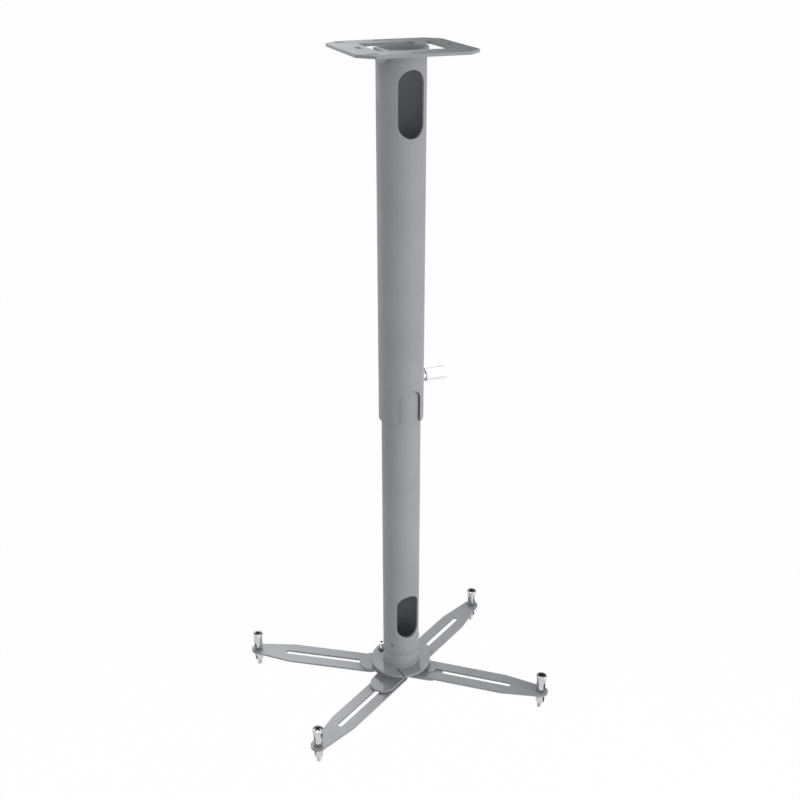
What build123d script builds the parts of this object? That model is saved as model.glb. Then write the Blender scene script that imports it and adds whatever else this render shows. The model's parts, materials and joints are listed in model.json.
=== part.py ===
from build123d import *
from math import atan2, cos, degrees, hypot, radians, sin
import os

os.makedirs("parts", exist_ok=True)

# Fits shared by the moving pieces
running_gap = 0.05
slide_gap = 0.05
bolt_gap = 0.2

# Ceiling plate with its opening and bolt slots
plate_side = 123.0
plate_thick = 3.0
corner_cut = 15.0
opening_left = 34.0
opening_right = 42.0
opening_long = 65.0
opening_round = 4.0
bolt_slot_wide = 6.5
corner_slot_long = 12.0
corner_slot_x = 46.0
corner_slot_y = 50.0
middle_slot_long = 22.0
middle_slot_y = 53.0
side_slot_long = 16.0
left_slot_x = 43.0
right_slot_x = 50.5

# Ears that stand beside the tube and are welded to it
ear_thick = 2.6
ear_tuck = 1.5
ear_past = 3.0
ear_past_deep = 7.5
ear_deep = 13.0
ear_deep_from = 6.0
ear_deep_to = 16.0
ear_root_deep = 4.5
ear_root_long = 3.0

# Outer tube
outer_r = 25.0
tube_wall = 2.0
tube_set_down = 1.3
outer_foot_z = -395.0
cable_slot_wide = 27.5
upper_slot_top = -19.0
upper_slot_long = 65.0
notch_wide = 26.0
notch_high = 41.0
slot_turn = 6.0

# Inner tube
inner_r = 22.0
inner_top_z = -295.0
inner_foot_z = -715.0
lower_slot_top = -628.5
lower_slot_long = 61.0

# Plastic liner in the outer tube and guide ring on the inner tube
liner_high = 25.0
ring_high = 12.5
ring_lip = 2.0
ring_lip_r = 20.5
ring_travel = 4.0
ring_stop_gap = 0.55

# Clamp screw with its round knob on the +X side
clamp_below_liner = 7.0
insert_r = 6.5
insert_in_x = 23.2
insert_out_x = 27.0
screw_r = 4.0
screw_tip_x = 22.5
knob_r = 7.25
knob_neck_r = 5.2
knob_neck_long = 1.8
knob_start_x = 27.4
knob_long = 25.0
knob_edge = 0.9

# Foot plug in the inner tube
plug_foot_z = -735.0
plug_flange_r = 23.0
plug_flange_high = 4.4
spigot_high = 23.0
plug_bore_r = 16.0
plug_roof = 4.0
rivet_z = -701.0
rivet_r = 2.2
rivet_head_r = 3.4
rivet_head_high = 1.0
rivet_depth = 4.5
rivet_start = -139.0

# Ball joint
ball_above_foot = 5.0
ball_r = 9.0
seat_r = 14.0
seat_up = 5.0
seat_down = 6.5
neck_r = 4.0
collar_r = 8.0
collar_high = 2.0

# Pivot disc under the plug
disc_r = 36.8
disc_thick = 3.0
disc_edge = 0.8
slit_wide = 2.2
slit_in_r = 24.0
slit_in_angle = -120.0
slit_out_angle = -103.0

# Tilt adjusting screws with lock nuts
tilt_screw_r = 2.0
tilt_screw_at_r = 28.0
tilt_screw_angle = 49.0
tilt_head_r = 3.5
tilt_head_high = 4.0
tilt_head_top = 12.0
tilt_socket_flats = 3.2
tilt_socket_deep = 2.4
lock_nut_flats = 7.0
lock_nut_high = 3.2

# Arm carrier, a plate of two crossing bars
carrier_below_disc = 12.0
carrier_thick = 2.5
carrier_bar_wide = 32.0
arm_angle = 34.5
stud_at_r = 38.0
carrier_fillet = 5.0
press_nut_r = 5.5

# Arms and the bolts they swing on
arm_wide = 32.0
arm_thick = 2.5
arm_long = 155.2
arm_taper = 46.0
arm_end = 7.0
arm_end_round = 12.0
arm_tip_r = 9.0
arm_slot_wide = 6.5
arm_slot_to_tip = 37.0
bolt_r = 3.0
bolt_head_r = 6.5
bolt_head_high = 2.6
bolt_head_round = 1.4
spacer_r = 8.0

# Tip screws and the sleeves they clamp
tip_hole_r = 3.2
sleeve_r = 5.35
upper_sleeve_high = 22.0
lower_sleeve_high = 14.0
sleeve_chamfer = 1.2
tip_screw_r = 3.0
tip_screw_out = 8.0
tip_head_r = 6.5
tip_head_high = 4.0
tip_head_round = 2.2
recess_wide = 1.6
recess_long = 7.4
recess_deep = 2.0

# Where each arm's bolt stands along its slot, which way the arm points, and its level
bolt_place = {"ne": 27.3, "nw": 3.7, "sw": 30.9, "se": 15.0}
heading = {"ne": 33.3, "nw": 148.8, "sw": 213.15, "se": -36.7}
stud_angle = {"ne": arm_angle, "nw": 180.0 - arm_angle, "sw": 180.0 + arm_angle, "se": -arm_angle}
top_arms = ("se",)
low_arms = ("ne", "sw")

# Sizes that follow from the ones above
outer_in_r = outer_r - tube_wall
inner_in_r = inner_r - tube_wall
outer_top_z = -tube_set_down
ring_top_z = inner_top_z + slide_gap + ring_lip
ring_foot_z = ring_top_z - ring_high
liner_top_z = ring_foot_z - ring_travel - ring_stop_gap
liner_foot_z = liner_top_z - liner_high
clamp_z = liner_foot_z - clamp_below_liner - insert_r
ball_z = plug_foot_z + ball_above_foot
disc_top_z = plug_foot_z
disc_foot_z = disc_top_z - disc_thick
carrier_top_z = disc_foot_z - carrier_below_disc
carrier_foot_z = carrier_top_z - carrier_thick
spacer_thick = arm_thick + slide_gap
neck_flats = arm_slot_wide - 2 * slide_gap
slot_face = -90.0 + slot_turn


def rod(radius, low, high, x=0.0, y=0.0):
    """Upright round solid between two heights."""
    return Pos(x, y, low) * Cylinder(radius, high - low, align=(Align.CENTER, Align.CENTER, Align.MIN))


def tube(outside, inside, low, high, x=0.0, y=0.0):
    """Upright ring between two heights."""
    return rod(outside, low, high, x, y) - rod(inside, low - 1, high + 1, x, y)


def hex_rod(flats, low, high, x=0.0, y=0.0):
    """Upright six-sided solid between two heights."""
    return Pos(x, y, low) * extrude(RegularPolygon(flats / 2, 6, major_radius=False), high - low)


def cross_rod(radius, start, end, z):
    """Round solid along X."""
    turned = Rot(0, 90, 0) * Cylinder(radius, end - start, align=(Align.CENTER, Align.CENTER, Align.MIN))
    return Pos(start, 0, z) * turned


def flat_slot(long, wide, x, y, turn):
    """Cutter for a round-ended slot through the ceiling plate."""
    outline = SlotOverall(long, wide, rotation=turn)
    return Pos(x, y, -2 * plate_thick) * extrude(outline, 3 * plate_thick)


def wall_slot(wide, top, long, radius, angle):
    """Cutter for a round-ended slot through one wall of a tube."""
    outline = Pos(0, top - long / 2) * SlotOverall(long, wide, rotation=90)
    cutter = extrude(Plane.YZ * outline, 2 * radius)
    return Rot(0, 0, angle) * cutter


def polar(radius, angle):
    """Point in the plan view."""
    return radius * cos(radians(angle)), radius * sin(radians(angle))


def save(name, *solids):
    """Writes one node to its file."""
    shape = solids[0] if len(solids) == 1 else Compound(children=list(solids))
    shape.label = name
    export_step(shape, "parts/" + name + ".step")


# Ceiling plate: cut corners, one opening round the tube, bolt slots
plate_outline = Rectangle(plate_side, plate_side)
plate_outline = chamfer(plate_outline.vertices(), corner_cut)
opening = RectangleRounded(opening_left + opening_right, opening_long, opening_round)
plate_outline -= Pos((opening_right - opening_left) / 2, 0) * opening
ceiling_plate = Pos(0, 0, -plate_thick) * extrude(plate_outline, plate_thick)
for sx in (-1, 1):
    for sy in (-1, 1):
        ceiling_plate -= flat_slot(corner_slot_long, bolt_slot_wide, sx * corner_slot_x, sy * corner_slot_y, 0)
    ceiling_plate -= flat_slot(middle_slot_long, bolt_slot_wide, 0, sx * middle_slot_y, 0)
ceiling_plate -= flat_slot(side_slot_long, bolt_slot_wide, -left_slot_x, 0, 90)
ceiling_plate -= flat_slot(side_slot_long, bolt_slot_wide, right_slot_x, 0, 90)

# Ears: one from the plate's back strip on the right, its twin turned half round
ear_root = opening_long / 2 + ear_root_long
ear_outline = Polygon(
    (-ear_past, 0),
    (-ear_past, -ear_past_deep),
    (ear_deep_from, -ear_deep),
    (ear_deep_to, -ear_deep),
    (ear_root, -ear_root_deep),
    (ear_root, 0),
    align=None,
)
ear = Pos(outer_r - ear_tuck, 0, 0) * extrude(Plane.YZ * ear_outline, ear_tuck + ear_thick)
ear -= rod(outer_r, -ear_deep - 1, 1)
ceiling_plate += ear
ceiling_plate += Rot(0, 0, 180) * ear
save("ceiling_plate", ceiling_plate)

# Outer tube: cable slot near the ceiling, open notch at the foot
outer_tube = tube(outer_r, outer_in_r, outer_foot_z, outer_top_z)
outer_tube -= wall_slot(cable_slot_wide, upper_slot_top, upper_slot_long, outer_r, slot_face)
notch_long = 2 * notch_high
outer_tube -= wall_slot(notch_wide, outer_foot_z + notch_high, notch_long, outer_r, slot_face)
outer_tube -= cross_rod(insert_r, insert_in_x - tube_wall, insert_out_x + 1, clamp_z)
save("outer_tube", outer_tube)

# Threaded insert for the clamp screw
clamp_insert = cross_rod(insert_r, insert_in_x, insert_out_x, clamp_z)
clamp_insert -= cross_rod(screw_r + running_gap, insert_in_x - 1, insert_out_x + 1, clamp_z)
save("clamp_insert", clamp_insert)

# Liner pressed into the outer tube
guide_liner = tube(outer_in_r, inner_r + running_gap, liner_foot_z, liner_top_z)
save("guide_liner", guide_liner)

# Clamp screw and round knob
knob_end_x = knob_start_x + knob_long
clamp_screw = cross_rod(screw_r, screw_tip_x, knob_start_x, clamp_z)
save("clamp_screw", clamp_screw)
knob_grip_x = knob_start_x + knob_neck_long
knob_neck = cross_rod(knob_neck_r, knob_start_x, knob_grip_x, clamp_z)
knob_grip = cross_rod(knob_r, knob_grip_x, knob_end_x, clamp_z)
knob_grip = chamfer(knob_grip.edges().filter_by(GeomType.CIRCLE), knob_edge)
clamp_knob = knob_neck + knob_grip
save("clamp_knob", clamp_knob)

# Guide ring capping the inner tube
guide_ring = rod(outer_in_r - running_gap, ring_foot_z, ring_top_z)
guide_ring -= rod(inner_r + running_gap, ring_foot_z - 1, ring_top_z - ring_lip)
guide_ring -= rod(ring_lip_r, ring_foot_z - 1, ring_top_z + 1)
save("guide_ring", guide_ring)

# Inner tube with its cable slot
inner_tube = tube(inner_r, inner_in_r, inner_foot_z, inner_top_z)
inner_tube -= wall_slot(cable_slot_wide, lower_slot_top, lower_slot_long, inner_r, slot_face)
rivet_angles = [rivet_start + 120.0 * i for i in range(3)]
rivet_hole = cross_rod(rivet_r, inner_r - rivet_depth, inner_r + 1, rivet_z)
for angle in rivet_angles:
    inner_tube -= Rot(0, 0, angle) * rivet_hole
save("inner_tube", inner_tube)

# Foot plug with the upper half of the ball socket
spigot_top_z = inner_foot_z + spigot_high
socket_r = seat_r + running_gap
socket = Pos(0, 0, ball_z) * Sphere(socket_r)
foot_plug = rod(inner_r, plug_foot_z, inner_foot_z)
foot_plug += rod(inner_in_r, inner_foot_z, spigot_top_z)
foot_plug += rod(plug_flange_r, plug_foot_z, plug_foot_z + plug_flange_high)
plug_bore_z = ball_z + socket_r + plug_roof
foot_plug -= rod(plug_bore_r, plug_bore_z, spigot_top_z + 1)
foot_plug -= socket
for angle in rivet_angles:
    foot_plug -= Rot(0, 0, angle) * rivet_hole
save("foot_plug", foot_plug)

# Rivets that hold the plug in the tube
rivet_seat_x = (inner_r**2 - rivet_head_r**2) ** 0.5
rivet_head = cross_rod(rivet_head_r, rivet_seat_x, inner_r + rivet_head_high, rivet_z)
rivet_head -= rod(inner_r, rivet_z - 2 * rivet_head_r, rivet_z + 2 * rivet_head_r)
rivet = cross_rod(rivet_r, inner_r - rivet_depth, inner_r, rivet_z) + rivet_head
rivets = [Rot(0, 0, angle) * rivet for angle in rivet_angles]
save("plug_rivets", *rivets)

# Pivot disc: lower lip of the ball socket, slanted slit open to the rim, two threaded holes
pivot_disc = rod(disc_r, disc_foot_z, disc_top_z)
pivot_disc = fillet(pivot_disc.edges().filter_by(GeomType.CIRCLE), disc_edge)
pivot_disc -= socket
slit_x, slit_y = polar(slit_in_r, slit_in_angle)
slit_out_x, slit_out_y = polar(disc_r + slit_wide, slit_out_angle)
slit_long = hypot(slit_out_x - slit_x, slit_out_y - slit_y)
slit_turn = degrees(atan2(slit_out_y - slit_y, slit_out_x - slit_x))
slit = Pos(slit_long / 2, 0, 0) * extrude(SlotOverall(slit_long + slit_wide, slit_wide), disc_thick + 2)
pivot_disc -= Pos(slit_x, slit_y, disc_foot_z - 1) * Rot(0, 0, slit_turn) * slit
tilt_spots = [polar(tilt_screw_at_r, tilt_screw_angle), polar(tilt_screw_at_r, 180.0 - tilt_screw_angle)]
for x, y in tilt_spots:
    pivot_disc -= rod(tilt_screw_r, disc_foot_z - 1, disc_top_z + 1, x, y)
save("pivot_disc", pivot_disc)

# Tilt adjusting screws with socket heads, and their lock nuts
head_top_z = disc_top_z + tilt_head_top
head_low_z = head_top_z - tilt_head_high
tilt_screws = []
lock_nuts = []
for x, y in tilt_spots:
    screw = rod(tilt_screw_r, disc_foot_z, head_low_z, x, y) + rod(tilt_head_r, head_low_z, head_top_z, x, y)
    screw -= hex_rod(tilt_socket_flats, head_top_z - tilt_socket_deep, head_top_z + 1, x, y)
    tilt_screws.append(screw)
    nut = hex_rod(lock_nut_flats, disc_top_z, disc_top_z + lock_nut_high, x, y)
    nut -= rod(tilt_screw_r, disc_top_z - 1, disc_top_z + lock_nut_high + 1, x, y)
    lock_nuts.append(nut)
save("tilt_screws", *tilt_screws)
save("tilt_lock_nuts", *lock_nuts)

# Plastic ball seat between the socket and the ball
ball_seat = Pos(0, 0, ball_z) * Sphere(seat_r)
ball_seat &= rod(seat_r + 1, ball_z - seat_down, ball_z + seat_up)
ball_seat -= Pos(0, 0, ball_z) * Sphere(ball_r + running_gap)
save("ball_seat", ball_seat)

# Ball stud, riveted flush into the carrier
ball_stud = Pos(0, 0, ball_z) * Sphere(ball_r)
ball_stud += rod(neck_r, carrier_foot_z, ball_z)
ball_stud += rod(collar_r, carrier_top_z, carrier_top_z + collar_high)
save("ball_stud", ball_stud)

# Arm carrier
bar_long = 2 * stud_at_r + carrier_bar_wide
bar = SlotOverall(bar_long, carrier_bar_wide)
carrier_outline = Rot(0, 0, arm_angle) * bar + Rot(0, 0, -arm_angle) * bar
inside_corners = carrier_outline.vertices().sort_by(lambda v: v.X**2 + v.Y**2)[:4]
carrier_outline = fillet(inside_corners, carrier_fillet)
arm_carrier = Pos(0, 0, carrier_foot_z) * extrude(carrier_outline, carrier_thick)
arm_carrier -= rod(neck_r, carrier_foot_z - 1, carrier_top_z + 1)
press_nuts = []
spacers = []
for side, angle in stud_angle.items():
    x, y = polar(stud_at_r, angle)
    arm_carrier -= rod(press_nut_r, carrier_foot_z - 1, carrier_top_z + 1, x, y)
    press_nuts.append(tube(press_nut_r, bolt_r + running_gap, carrier_foot_z, carrier_top_z, x, y))
    if side in low_arms:
        spacers.append(tube(spacer_r, bolt_r + running_gap, carrier_foot_z - spacer_thick, carrier_foot_z, x, y))
save("arm_carrier", arm_carrier)
save("press_nuts", *press_nuts)
save("arm_spacers", *spacers)

# Arm outline along X, with its slot's inner end at the origin
taper_x = arm_long - arm_taper
arm_half = arm_wide / 2
arm_outline = Polygon(
    (-arm_end, -arm_half),
    (taper_x, -arm_half),
    (arm_long, -arm_tip_r),
    (arm_long, arm_tip_r),
    (taper_x, arm_half),
    (-arm_end, arm_half),
    align=None,
)
arm_outline = fillet(arm_outline.vertices().sort_by(Axis.X)[:2], arm_end_round)
arm_outline += Pos(arm_long, 0) * Circle(arm_tip_r)
slot_out = arm_long - arm_slot_to_tip
slot_in = -arm_slot_wide / 2
slot_cut = Pos((slot_in + slot_out) / 2, 0) * SlotOverall(slot_out - slot_in, arm_slot_wide)
arm_outline -= slot_cut
arm_outline -= Pos(arm_long, 0) * Circle(tip_hole_r)
arm_blank = extrude(arm_outline, -arm_thick)

# Four arms with their bolts, sleeves and screws
for side, angle in heading.items():
    level = carrier_foot_z - slide_gap
    if side in low_arms:
        level -= spacer_thick
    if side in top_arms:
        level = carrier_top_z + slide_gap + arm_thick
    arm_low = level - arm_thick
    stud_x, stud_y = polar(stud_at_r, stud_angle[side])
    at_stud = Pos(stud_x, stud_y, 0) * Rot(0, 0, angle)
    save(side + "_arm", at_stud * Pos(-bolt_place[side], 0, level) * arm_blank)

    # A top arm's bolt points down, the others point up
    if side in top_arms:
        neck_low = arm_low
        head_low = level + slide_gap
        shank = rod(bolt_r, carrier_foot_z, head_low, stud_x, stud_y)
    else:
        neck_low = arm_low - slide_gap
        head_low = neck_low - bolt_head_high
        shank = rod(bolt_r, neck_low, carrier_top_z, stud_x, stud_y)
    neck = at_stud * Pos(0, 0, neck_low) * Box(
        neck_flats,
        neck_flats,
        arm_thick + slide_gap,
        align=(Align.CENTER, Align.CENTER, Align.MIN),
    )
    head = rod(bolt_head_r, head_low, head_low + bolt_head_high, stud_x, stud_y)
    rims = head.edges().sort_by(Axis.Z)
    head = fillet(rims[-1:] if side in top_arms else rims[:1], bolt_head_round)
    save(side + "_bolt", shank + neck + head)

    out_x, out_y = polar(arm_long - bolt_place[side], angle)
    x = stud_x + out_x
    y = stud_y + out_y
    upper = tube(sleeve_r, tip_hole_r, level, level + upper_sleeve_high, x, y)
    save(side + "_upper_sleeve", upper)
    lower = rod(sleeve_r, arm_low - lower_sleeve_high, arm_low, x, y)
    lower = chamfer(lower.edges().sort_by(Axis.Z)[:1], sleeve_chamfer)
    lower -= rod(tip_hole_r, arm_low - lower_sleeve_high - 1, arm_low + 1, x, y)
    save(side + "_lower_sleeve", lower)
    screw_top = level + upper_sleeve_high
    cap_top = screw_top + tip_head_high
    cap = rod(tip_head_r, screw_top, cap_top, x, y)
    cap = fillet(cap.edges().sort_by(Axis.Z)[-1:], tip_head_round)
    for turn in (angle, angle + 90.0):
        blade = Box(recess_long, recess_wide, 2 * recess_deep)
        cap -= Pos(x, y, cap_top) * Rot(0, 0, turn) * blade
    sleeve_foot = arm_low - lower_sleeve_high
    shank = rod(tip_screw_r - bolt_gap, sleeve_foot, screw_top, x, y)
    end = rod(tip_screw_r, sleeve_foot - tip_screw_out, sleeve_foot, x, y)
    save(side + "_tip_screw", cap + shank + end)
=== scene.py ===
"""Looks of the projector ceiling mount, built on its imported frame."""

from __future__ import annotations

import json
import logging
import math
from collections.abc import Callable, Iterable
from dataclasses import dataclass
from enum import Enum

import bmesh
import bpy
from mathutils import Matrix, Vector

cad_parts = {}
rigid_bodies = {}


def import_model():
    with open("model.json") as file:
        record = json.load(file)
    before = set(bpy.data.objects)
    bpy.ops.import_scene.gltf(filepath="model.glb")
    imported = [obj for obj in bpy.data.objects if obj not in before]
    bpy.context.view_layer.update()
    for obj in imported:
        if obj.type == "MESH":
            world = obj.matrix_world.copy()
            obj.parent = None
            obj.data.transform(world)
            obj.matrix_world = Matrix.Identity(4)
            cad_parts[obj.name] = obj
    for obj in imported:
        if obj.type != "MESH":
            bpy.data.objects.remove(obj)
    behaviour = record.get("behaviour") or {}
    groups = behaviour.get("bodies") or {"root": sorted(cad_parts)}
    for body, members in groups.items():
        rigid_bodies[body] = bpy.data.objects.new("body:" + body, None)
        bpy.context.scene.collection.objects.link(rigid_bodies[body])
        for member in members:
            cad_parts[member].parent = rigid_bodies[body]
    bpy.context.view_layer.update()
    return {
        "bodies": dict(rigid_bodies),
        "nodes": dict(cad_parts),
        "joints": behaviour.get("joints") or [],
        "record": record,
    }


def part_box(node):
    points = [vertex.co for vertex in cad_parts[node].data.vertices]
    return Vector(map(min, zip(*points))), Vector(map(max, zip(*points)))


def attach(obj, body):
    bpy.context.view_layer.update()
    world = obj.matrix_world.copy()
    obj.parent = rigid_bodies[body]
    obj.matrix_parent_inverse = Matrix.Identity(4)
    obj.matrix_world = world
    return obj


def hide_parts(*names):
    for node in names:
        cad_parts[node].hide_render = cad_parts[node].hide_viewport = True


LOG = logging.getLogger("projector_mount")
MM = 0.001
FULL_TURN = 2.0 * math.pi
QUARTER_TURN = math.pi / 2.0
SHARP_ANGLE = math.radians(32.0)
WHITE = (1.0, 1.0, 1.0, 1.0)
# A noise texture's value mostly lies between these two.
NOISE_LOW, NOISE_HIGH = 0.3, 0.7
# A ring narrower than this is made as one point.
POINT_R = 1e-7
# A hexagon's reach at its corners over its reach at its flats.
HEX_CORNER = 1.1547

Colour = tuple[float, float, float]
Stops = list[tuple[float, Colour]]
Profile = list[tuple[float, float]]
Ring = list[bmesh.types.BMVert]
Socket = bpy.types.NodeSocket


class Body(str, Enum):
    """Rigid bodies that carry made pieces, apart from the arms' own."""

    CLAMP = "clamp"
    DROP = "drop"


class Side(str, Enum):
    """The four arms, named by where they point in plan."""

    NE = "ne"
    NW = "nw"
    SW = "sw"
    SE = "se"


def shade(colour: Colour, share: float) -> Colour:
    """Makes a colour lighter or darker by a share."""
    red, green, blue = colour
    return (share * red, share * green, share * blue)


def grey(tone: float) -> Colour:
    """Gives a neutral colour."""
    return (tone, tone, tone)


class NodeSheet:
    """A material's node tree with short ways to add and join nodes."""

    # Places of a Mix node's colour sockets, whose names other sockets share.
    MIX_FIRST = 6
    MIX_SECOND = 7
    MIX_RESULT = 2
    NOISE_ROUGHNESS = 0.55
    BEVEL_SAMPLES = 6

    def __init__(self, name: str) -> None:
        """Starts an empty material with a shader and an output.

        Args:
            name: The material's name.
        """
        self.material = bpy.data.materials.new(name)
        self.material.use_nodes = True
        self.tree = self.material.node_tree
        self.tree.nodes.clear()
        self.output = self.tree.nodes.new("ShaderNodeOutputMaterial")
        self.shader = self.tree.nodes.new("ShaderNodeBsdfPrincipled")
        self.join(self.shader.outputs["BSDF"], self.output.inputs["Surface"])

    def add(self, kind: str, **settings: object) -> bpy.types.Node:
        """Adds a node and sets its properties or input defaults.

        Args:
            kind: Node type without the ShaderNode prefix.
            settings: Property names, or input names with spaces as underscores.

        Returns:
            The new node.
        """
        node = self.tree.nodes.new("ShaderNode" + kind)
        for key, value in settings.items():
            if hasattr(node, key):
                setattr(node, key, value)
            else:
                node.inputs[key.replace("_", " ")].default_value = value
        return node

    def join(self, source: Socket, target: Socket) -> None:
        """Joins two sockets."""
        self.tree.links.new(source, target)

    def feed(self, source: Socket, name: str) -> None:
        """Joins a socket to one of the shader's inputs."""
        self.join(source, self.shader.inputs[name])

    def place(self, stretch: tuple[float, float, float] = (1.0, 1.0, 1.0)) -> Socket:
        """Gives the object's own coordinates, stretched if asked.

        Args:
            stretch: Scale along each axis.

        Returns:
            The vector socket.
        """
        spot = self.add("TexCoord").outputs["Object"]
        if stretch == (1.0, 1.0, 1.0):
            return spot
        mapping = self.add("Mapping")
        mapping.inputs["Scale"].default_value = stretch
        self.join(spot, mapping.inputs["Vector"])
        return mapping.outputs["Vector"]

    def noise(self, spot: Socket, scale: float, detail: float) -> Socket:
        """Adds a noise texture.

        Args:
            spot: Coordinates.
            scale: Waves in a metre.
            detail: Octaves.

        Returns:
            The noise's value socket.
        """
        texture = self.add("TexNoise", Scale=scale, Detail=detail, Roughness=self.NOISE_ROUGHNESS)
        self.join(spot, texture.inputs["Vector"])
        return texture.outputs["Fac"]

    def spread(self, value: Socket, low: float, high: float) -> Socket:
        """Maps a noise value to a range.

        Args:
            value: The noise's value.
            low: Result at the noise's low end.
            high: Result at its high end.

        Returns:
            The mapped value.
        """
        node = self.add("MapRange", clamp=True)
        node.inputs["From Min"].default_value = NOISE_LOW
        node.inputs["From Max"].default_value = NOISE_HIGH
        node.inputs["To Min"].default_value = low
        node.inputs["To Max"].default_value = high
        self.join(value, node.inputs["Value"])
        return node.outputs["Result"]

    def roughen(self, value: Socket, low: float, high: float) -> None:
        """Lets a noise value vary the shader's roughness between two values."""
        self.feed(self.spread(value, low, high), "Roughness")

    def ramp(self, value: Socket, stops: Stops) -> Socket:
        """Turns a value into a colour.

        Args:
            value: The value.
            stops: Place and colour of each stop.

        Returns:
            The colour socket.
        """
        node = self.add("ValToRGB")
        elements = node.color_ramp.elements
        while len(elements) < len(stops):
            elements.new(0.5)
        for element, (place, colour) in zip(elements, stops):
            element.position = place
            element.color = (*colour, 1.0)
        self.join(value, node.inputs["Fac"])
        return node.outputs["Color"]

    def blend(self, mode: str, share: float, first: Socket, second: Socket) -> Socket:
        """Blends two varying colours.

        Args:
            mode: Blend type, such as MULTIPLY.
            share: How much of the second.
            first: Base colour.
            second: Colour laid over it.

        Returns:
            The blended colour.
        """
        node = self.add("Mix", data_type="RGBA", blend_type=mode)
        node.inputs["Factor"].default_value = share
        self.join(first, node.inputs[self.MIX_FIRST])
        self.join(second, node.inputs[self.MIX_SECOND])
        return node.outputs[self.MIX_RESULT]

    def soft_edges(self, radius: float) -> Socket:
        """Gives a normal that rolls over sharp edges.

        Args:
            radius: Radius of the roll in metres.

        Returns:
            The normal socket.
        """
        node = self.add("Bevel", samples=self.BEVEL_SAMPLES)
        node.inputs["Radius"].default_value = radius
        return node.outputs["Normal"]

    def edge_wear_and_highlight(self, rolled: Socket, reach: float) -> Socket:
        """Finds the places near sharp edges, for wear and a painted highlight.

        Args:
            rolled: Normal that rolls over the edges.
            reach: How far the two normals part before an edge counts in full.

        Returns:
            Zero on flat places, one along edges.
        """
        flat = self.add("NewGeometry").outputs["Normal"]
        match = self.add("VectorMath", operation="DOT_PRODUCT")
        self.join(rolled, match.inputs[0])
        self.join(flat, match.inputs[1])
        node = self.add("MapRange", clamp=True)
        node.inputs["From Min"].default_value = 1.0
        node.inputs["From Max"].default_value = 1.0 - reach
        self.join(match.outputs["Value"], node.inputs["Value"])
        return node.outputs["Result"]

    def lay_over(self, share: Socket, first: Socket, second: Colour) -> Socket:
        """Lays one colour over another by a varying share.

        Args:
            share: How much of the second.
            first: Colour underneath.
            second: Colour laid over it.

        Returns:
            The mixed colour.
        """
        node = self.add("Mix", data_type="RGBA")
        self.join(share, node.inputs["Factor"])
        self.join(first, node.inputs[self.MIX_FIRST])
        node.inputs[self.MIX_SECOND].default_value = (*second, 1.0)
        return node.outputs[self.MIX_RESULT]

    def bump(self, height: Socket, depth: float, normal: Socket) -> None:
        """Adds a bump and joins it to the shader.

        Args:
            height: Height value.
            depth: Depth in metres at full height.
            normal: Normal under the bump.
        """
        node = self.add("Bump")
        node.inputs["Strength"].default_value = 1.0
        node.inputs["Distance"].default_value = depth
        self.join(height, node.inputs["Height"])
        self.join(normal, node.inputs["Normal"])
        self.feed(node.outputs["Normal"], "Normal")


@dataclass(frozen=True)
class PowderCoat:
    """Satin silver-grey powder coat with fine metal flake, a slight orange peel and edges lightened partly
    as wear, partly as a painted highlight.
    """

    name: str = "silver_powder_coat"
    colour: Colour = (0.364, 0.37, 0.388)
    rubbed_and_highlit: Colour = (0.405, 0.41, 0.428)
    rough: float = 0.5
    gloss: float = 0.2
    edge: float = 0.0006
    worn_highlit_reach: float = 0.35
    rough_down: float = 0.05
    rough_up: float = 0.07
    cloud_scale: float = 16.0
    flake_scale: float = 3400.0
    rough_scale: float = 60.0
    peel_scale: float = 1500.0
    peel_deep: float = 0.00005

    def material(self) -> bpy.types.Material:
        """Builds the node material.

        Returns:
            The material.
        """
        sheet = NodeSheet(self.name)
        spot = sheet.place()
        rolled = sheet.soft_edges(self.edge)
        shares = [(NOISE_LOW, 0.95), (0.5, 1.0), (NOISE_HIGH, 1.05)]
        shades = [(place, shade(self.colour, share)) for place, share in shares]
        cloud = sheet.ramp(sheet.noise(spot, self.cloud_scale, 3.0), shades)
        flake = sheet.add("TexVoronoi", Scale=self.flake_scale)
        sheet.join(spot, flake.inputs["Vector"])
        glints = [(0.0, (0.88, 0.88, 0.89)), (0.7, (1.0, 1.0, 1.0)), (1.0, (1.1, 1.1, 1.09))]
        glint = sheet.ramp(flake.outputs["Color"], glints)
        coat = sheet.blend("MULTIPLY", 1.0, cloud, glint)
        # Edges get a lighter colour: partly rubbed wear, partly a painted highlight.
        coat = sheet.lay_over(sheet.edge_wear_and_highlight(rolled, self.worn_highlit_reach), coat, self.rubbed_and_highlit)
        sheet.feed(coat, "Base Color")
        patches = sheet.noise(spot, self.rough_scale, 4.0)
        sheet.roughen(patches, self.rough - self.rough_down, self.rough + self.rough_up)
        sheet.shader.inputs["Specular IOR Level"].default_value = self.gloss
        sheet.bump(sheet.noise(spot, self.peel_scale, 2.0), self.peel_deep, rolled)
        return sheet.material


@dataclass(frozen=True)
class BrightPlate:
    """Polished chrome plate with faint handling marks."""

    name: str = "bright_chrome"
    colour: Colour = (0.6, 0.6, 0.61)
    rough: float = 0.1
    rough_down: float = 0.04
    rough_up: float = 0.06
    edge: float = 0.00025
    mark_scale: float = 180.0
    streak_scale: float = 2600.0
    streak_stretch: tuple[float, float, float] = (1.0, 1.0, 0.08)
    ripple_scale: float = 700.0
    ripple_deep: float = 0.000006

    def material(self) -> bpy.types.Material:
        """Builds the node material.

        Returns:
            The material.
        """
        sheet = NodeSheet(self.name)
        spot = sheet.place()
        marks = [(NOISE_LOW, shade(self.colour, 0.94)), (NOISE_HIGH, self.colour)]
        sheet.feed(sheet.ramp(sheet.noise(spot, self.mark_scale, 3.0), marks), "Base Color")
        streak = sheet.noise(sheet.place(self.streak_stretch), self.streak_scale, 3.0)
        sheet.roughen(streak, self.rough - self.rough_down, self.rough + self.rough_up)
        sheet.shader.inputs["Metallic"].default_value = 1.0
        sheet.bump(sheet.noise(spot, self.ripple_scale, 2.0), self.ripple_deep, sheet.soft_edges(self.edge))
        return sheet.material


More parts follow.
